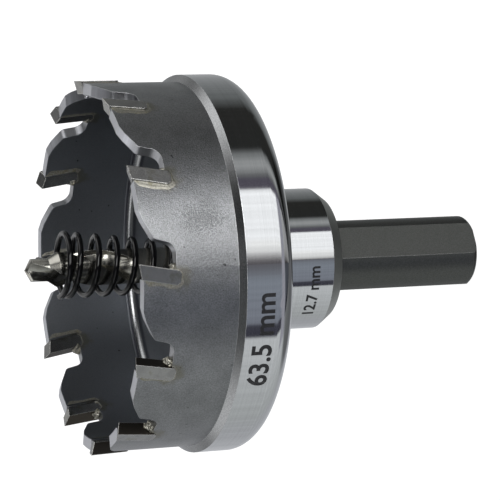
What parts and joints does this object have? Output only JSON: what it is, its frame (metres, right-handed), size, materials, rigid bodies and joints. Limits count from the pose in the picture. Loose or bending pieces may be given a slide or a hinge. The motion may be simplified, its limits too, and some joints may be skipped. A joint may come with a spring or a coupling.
{
  "type": "hole saw",
  "caption": "Hole saw: a shallow cup with brazed hard-metal teeth, a depth collar, a pilot drill, an ejector spring and a shank with flats.",
  "frame": {"origin": "centre of the shank's end face, on which the tool stands", "axes": "+Z along the tool's axis from the shank to the teeth; +X towards the tooth nearest to azimuth zero"},
  "size_m": [0.065, 0.0648, 0.0813],
  "materials": {
    "turned_steel": "ground and sandblasted",
    "hard_metal": "ground, dark grey",
    "drill_steel": "ground, straw-coloured",
    "spring_steel": "gloss black",
    "screw_steel": "black oxide"
  },
  "bodies": {
    "root": {"cutter_body": "turned_steel", "carbide_tip_01": "hard_metal", "carbide_tip_02": "hard_metal", "carbide_tip_03": "hard_metal", "carbide_tip_04": "hard_metal", "carbide_tip_05": "hard_metal", "carbide_tip_06": "hard_metal", "carbide_tip_07": "hard_metal", "carbide_tip_08": "hard_metal", "carbide_tip_09": "hard_metal", "carbide_tip_10": "hard_metal", "carbide_tip_11": "hard_metal", "carbide_tip_12": "hard_metal", "pilot_drill": "drill_steel", "ejector_spring": "spring_steel", "set_screw": "screw_steel"}
  },
  "joints": []
}
